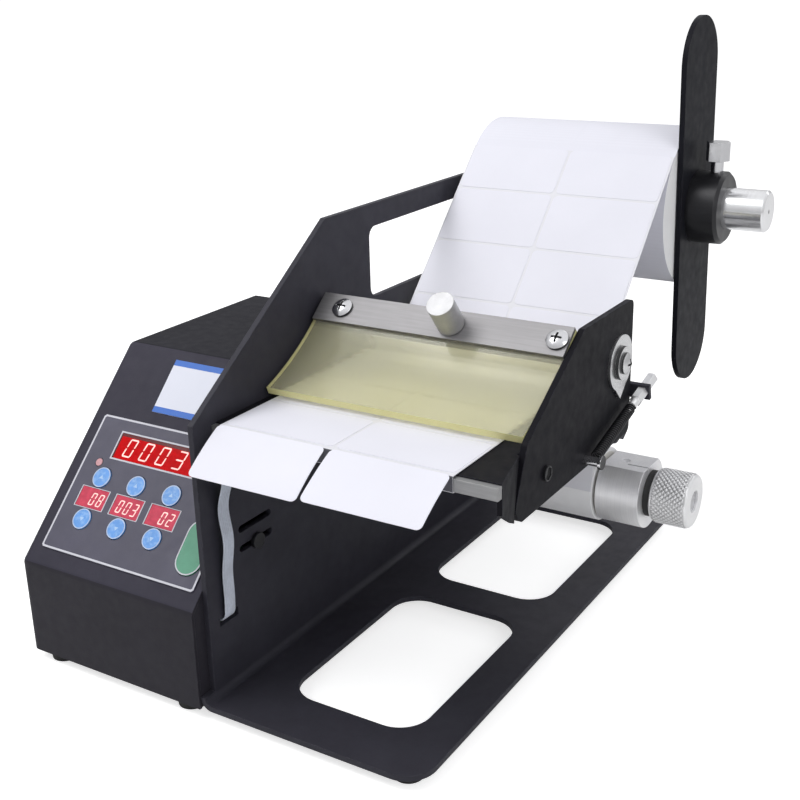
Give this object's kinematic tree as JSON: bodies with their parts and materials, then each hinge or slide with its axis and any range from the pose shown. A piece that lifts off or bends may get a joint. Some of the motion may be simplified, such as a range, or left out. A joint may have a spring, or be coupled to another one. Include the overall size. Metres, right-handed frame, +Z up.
{
  "type": "label peeling machine",
  "caption": "Desktop label peeling machine: pulls a label roll over a peel bar, presents the labels at the front and winds up the liner below.",
  "frame": {"origin": "middle of the overall outline, on the plane that the rubber feet stand on", "axes": "+X to the operator's right along the spindles, +Y to the back, +Z up"},
  "size_m": [0.2538, 0.2992, 0.2702],
  "materials": {
    "frame_paint": "semi-matt charcoal powder coat",
    "box_paint": "fine textured dark grey powder coat",
    "membrane": "printed membrane with a white outline",
    "sticker": "satin white sticker",
    "display": "glossy dark red display face",
    "board": "green circuit board",
    "blue_key": "satin light blue",
    "green_key": "satin green",
    "motor_steel": "zinc plated motor case",
    "brass": "machined brass",
    "nylon": "natural nylon",
    "steel": "ground steel",
    "bar_steel": "satin grey steel",
    "stainless": "brushed stainless strip",
    "bright": "bright nickel plate",
    "aluminium": "turned aluminium",
    "rubber": "black rubber",
    "black_metal": "blackened steel",
    "cardboard": "pale core tube",
    "black_plastic": "moulded black plastic",
    "paper": "white label paper and liner",
    "amber_sheet": "translucent pale yellow polyurethane sheet",
    "ribbon": "grey ribbon cable"
  },
  "bodies": {
    "machine": {"base_frame": "frame_paint", "box_cover": "box_paint", "box_bottom": "box_paint", "rear_panel": "box_paint", "panel_overlay": "membrane", "blank_plate": "sticker", "led_displays": "display", "panel_board": "board", "control_board": "board", "gear_motor": "motor_steel", "motor_bracket": "frame_paint", "shaft_bearings": "steel", "rewind_belt": "rubber", "supply_spindle": "steel", "channel_floor": "frame_paint", "peel_bar": "bar_steel", "side_plate": "frame_paint", "cross_shafts": "steel", "press_bracket": "frame_paint", "clamp_strip": "stainless", "bright_screws": "bright", "press_sheet": "amber_sheet", "pivot_washer": "bright", "tension_spring": "black_metal", "label_web": "paper", "peeled_labels": "paper", "label_sensor": "black_plastic", "ribbon_cable": "ribbon", "power_inlet": "black_plastic", "rubber_feet": "rubber", "frame_screws": "black_metal"},
    "supply_roll": {"label_roll": "paper", "core_bushes": "black_plastic"},
    "retainer": {"retaining_bar": "frame_paint", "bar_collar": "black_metal"},
    "bolt": {"clamp_bolt": "bright"},
    "motor_shaft": {"motor_pinion": "brass"},
    "drive": {"drive_gear": "nylon", "drive_shaft": "steel", "drive_rubber": "rubber"},
    "rewinder": {"rewind_pulley": "nylon", "rewind_spindle": "steel", "rewind_core": "cardboard", "wound_liner": "paper", "rewind_clamp": "aluminium", "friction_ring": "rubber"},
    "knob": {"lock_knob": "aluminium"},
    "guide": {"guide_roller": "nylon"},
    "lever": {"lever_arm": "frame_paint", "adjusting_stud": "bright"},
    "pinch": {"pinch_roller": "rubber"},
    "thumb": {"thumb_screw": "bright"},
    "rocker": {"power_switch": "black_plastic"},
    "speed_up_key_cap": {"speed_up_key": "blue_key"},
    "speed_down_key_cap": {"speed_down_key": "blue_key"},
    "length_up_key_cap": {"length_up_key": "blue_key"},
    "length_down_key_cap": {"length_down_key": "blue_key"},
    "delay_up_key_cap": {"delay_up_key": "blue_key"},
    "delay_down_key_cap": {"delay_down_key": "blue_key"},
    "confirm_key_cap": {"confirm_key": "green_key"}
  },
  "joints": [
    {"name": "roll_spin", "type": "hinge", "parent": "machine", "child": "supply_roll", "pos_m": [0.0326, 0.11158, 0.1808], "axis": [1, 0, 0], "continuous": true},
    {"name": "retainer_slide", "type": "slide", "parent": "machine", "child": "retainer", "axis": [1, 0, 0], "range_m": [0, 0.015]},
    {"name": "bolt_lift", "type": "slide", "parent": "retainer", "child": "bolt", "axis": [0, 0, 1], "range_m": [0, 0.002]},
    {"name": "rewind_spin", "type": "hinge", "parent": "machine", "child": "rewinder", "pos_m": [0.0326, 0.01428, 0.0699], "axis": [1, 0, 0], "continuous": true},
    {"name": "motor_spin", "type": "hinge", "parent": "machine", "child": "motor_shaft", "pos_m": [-0.0374, -0.02385, 0.08363], "axis": [1, 0, 0], "continuous": true},
    {"name": "drive_spin", "type": "hinge", "parent": "machine", "child": "drive", "pos_m": [0.0326, -0.01035, 0.10702], "axis": [1, 0, 0], "continuous": true},
    {"name": "knob_unscrew", "type": "slide", "parent": "rewinder", "child": "knob", "axis": [1, 0, 0], "range_m": [0, 0.006]},
    {"name": "guide_spin", "type": "hinge", "parent": "machine", "child": "guide", "pos_m": [0.0326, -0.00892, 0.137], "axis": [1, 0, 0], "continuous": true},
    {"name": "lever_open", "type": "hinge", "parent": "machine", "child": "lever", "pos_m": [0.0901, -0.00892, 0.137], "axis": [1, 0, 0], "range_deg": [0, 18], "stiffness_Nm_per_rad": 0.65, "springref_deg": -20.05, "deforming": ["tension_spring"]},
    {"name": "pinch_spin", "type": "hinge", "parent": "lever", "child": "pinch", "pos_m": [0.0326, 0.00948, 0.0998], "axis": [1, 0, 0], "continuous": true},
    {"name": "thumb_unscrew", "type": "slide", "parent": "machine", "child": "thumb", "axis": [0, -0.6361, 0.7716], "range_m": [0, 0.003]},
    {"name": "rocker_flip", "type": "hinge", "parent": "machine", "child": "rocker", "pos_m": [-0.0744, 0.02559, 0.031], "axis": [1, 0, 0], "range_deg": [0, 16]},
    {"name": "speed_up_press", "type": "slide", "parent": "machine", "child": "speed_up_key_cap", "axis": [0, 0.7071, -0.7071], "range_m": [0, 0.0004], "stiffness_N_per_m": 400},
    {"name": "speed_down_press", "type": "slide", "parent": "machine", "child": "speed_down_key_cap", "axis": [0, 0.7071, -0.7071], "range_m": [0, 0.0004], "stiffness_N_per_m": 400},
    {"name": "length_up_press", "type": "slide", "parent": "machine", "child": "length_up_key_cap", "axis": [0, 0.7071, -0.7071], "range_m": [0, 0.0004], "stiffness_N_per_m": 400},
    {"name": "length_down_press", "type": "slide", "parent": "machine", "child": "length_down_key_cap", "axis": [0, 0.7071, -0.7071], "range_m": [0, 0.0004], "stiffness_N_per_m": 400},
    {"name": "delay_up_press", "type": "slide", "parent": "machine", "child": "delay_up_key_cap", "axis": [0, 0.7071, -0.7071], "range_m": [0, 0.0004], "stiffness_N_per_m": 400},
    {"name": "delay_down_press", "type": "slide", "parent": "machine", "child": "delay_down_key_cap", "axis": [0, 0.7071, -0.7071], "range_m": [0, 0.0004], "stiffness_N_per_m": 400},
    {"name": "confirm_press", "type": "slide", "parent": "machine", "child": "confirm_key_cap", "axis": [0, 0.7071, -0.7071], "range_m": [0, 0.0004], "stiffness_N_per_m": 400}
  ],
  "couplings": [
    {"joint": "motor_spin", "follows": "rewind_spin", "ratio": 1.375},
    {"joint": "drive_spin", "follows": "rewind_spin", "ratio": -0.6875},
    {"joint": "pinch_spin", "follows": "rewind_spin", "ratio": 1.0312}
  ]
}
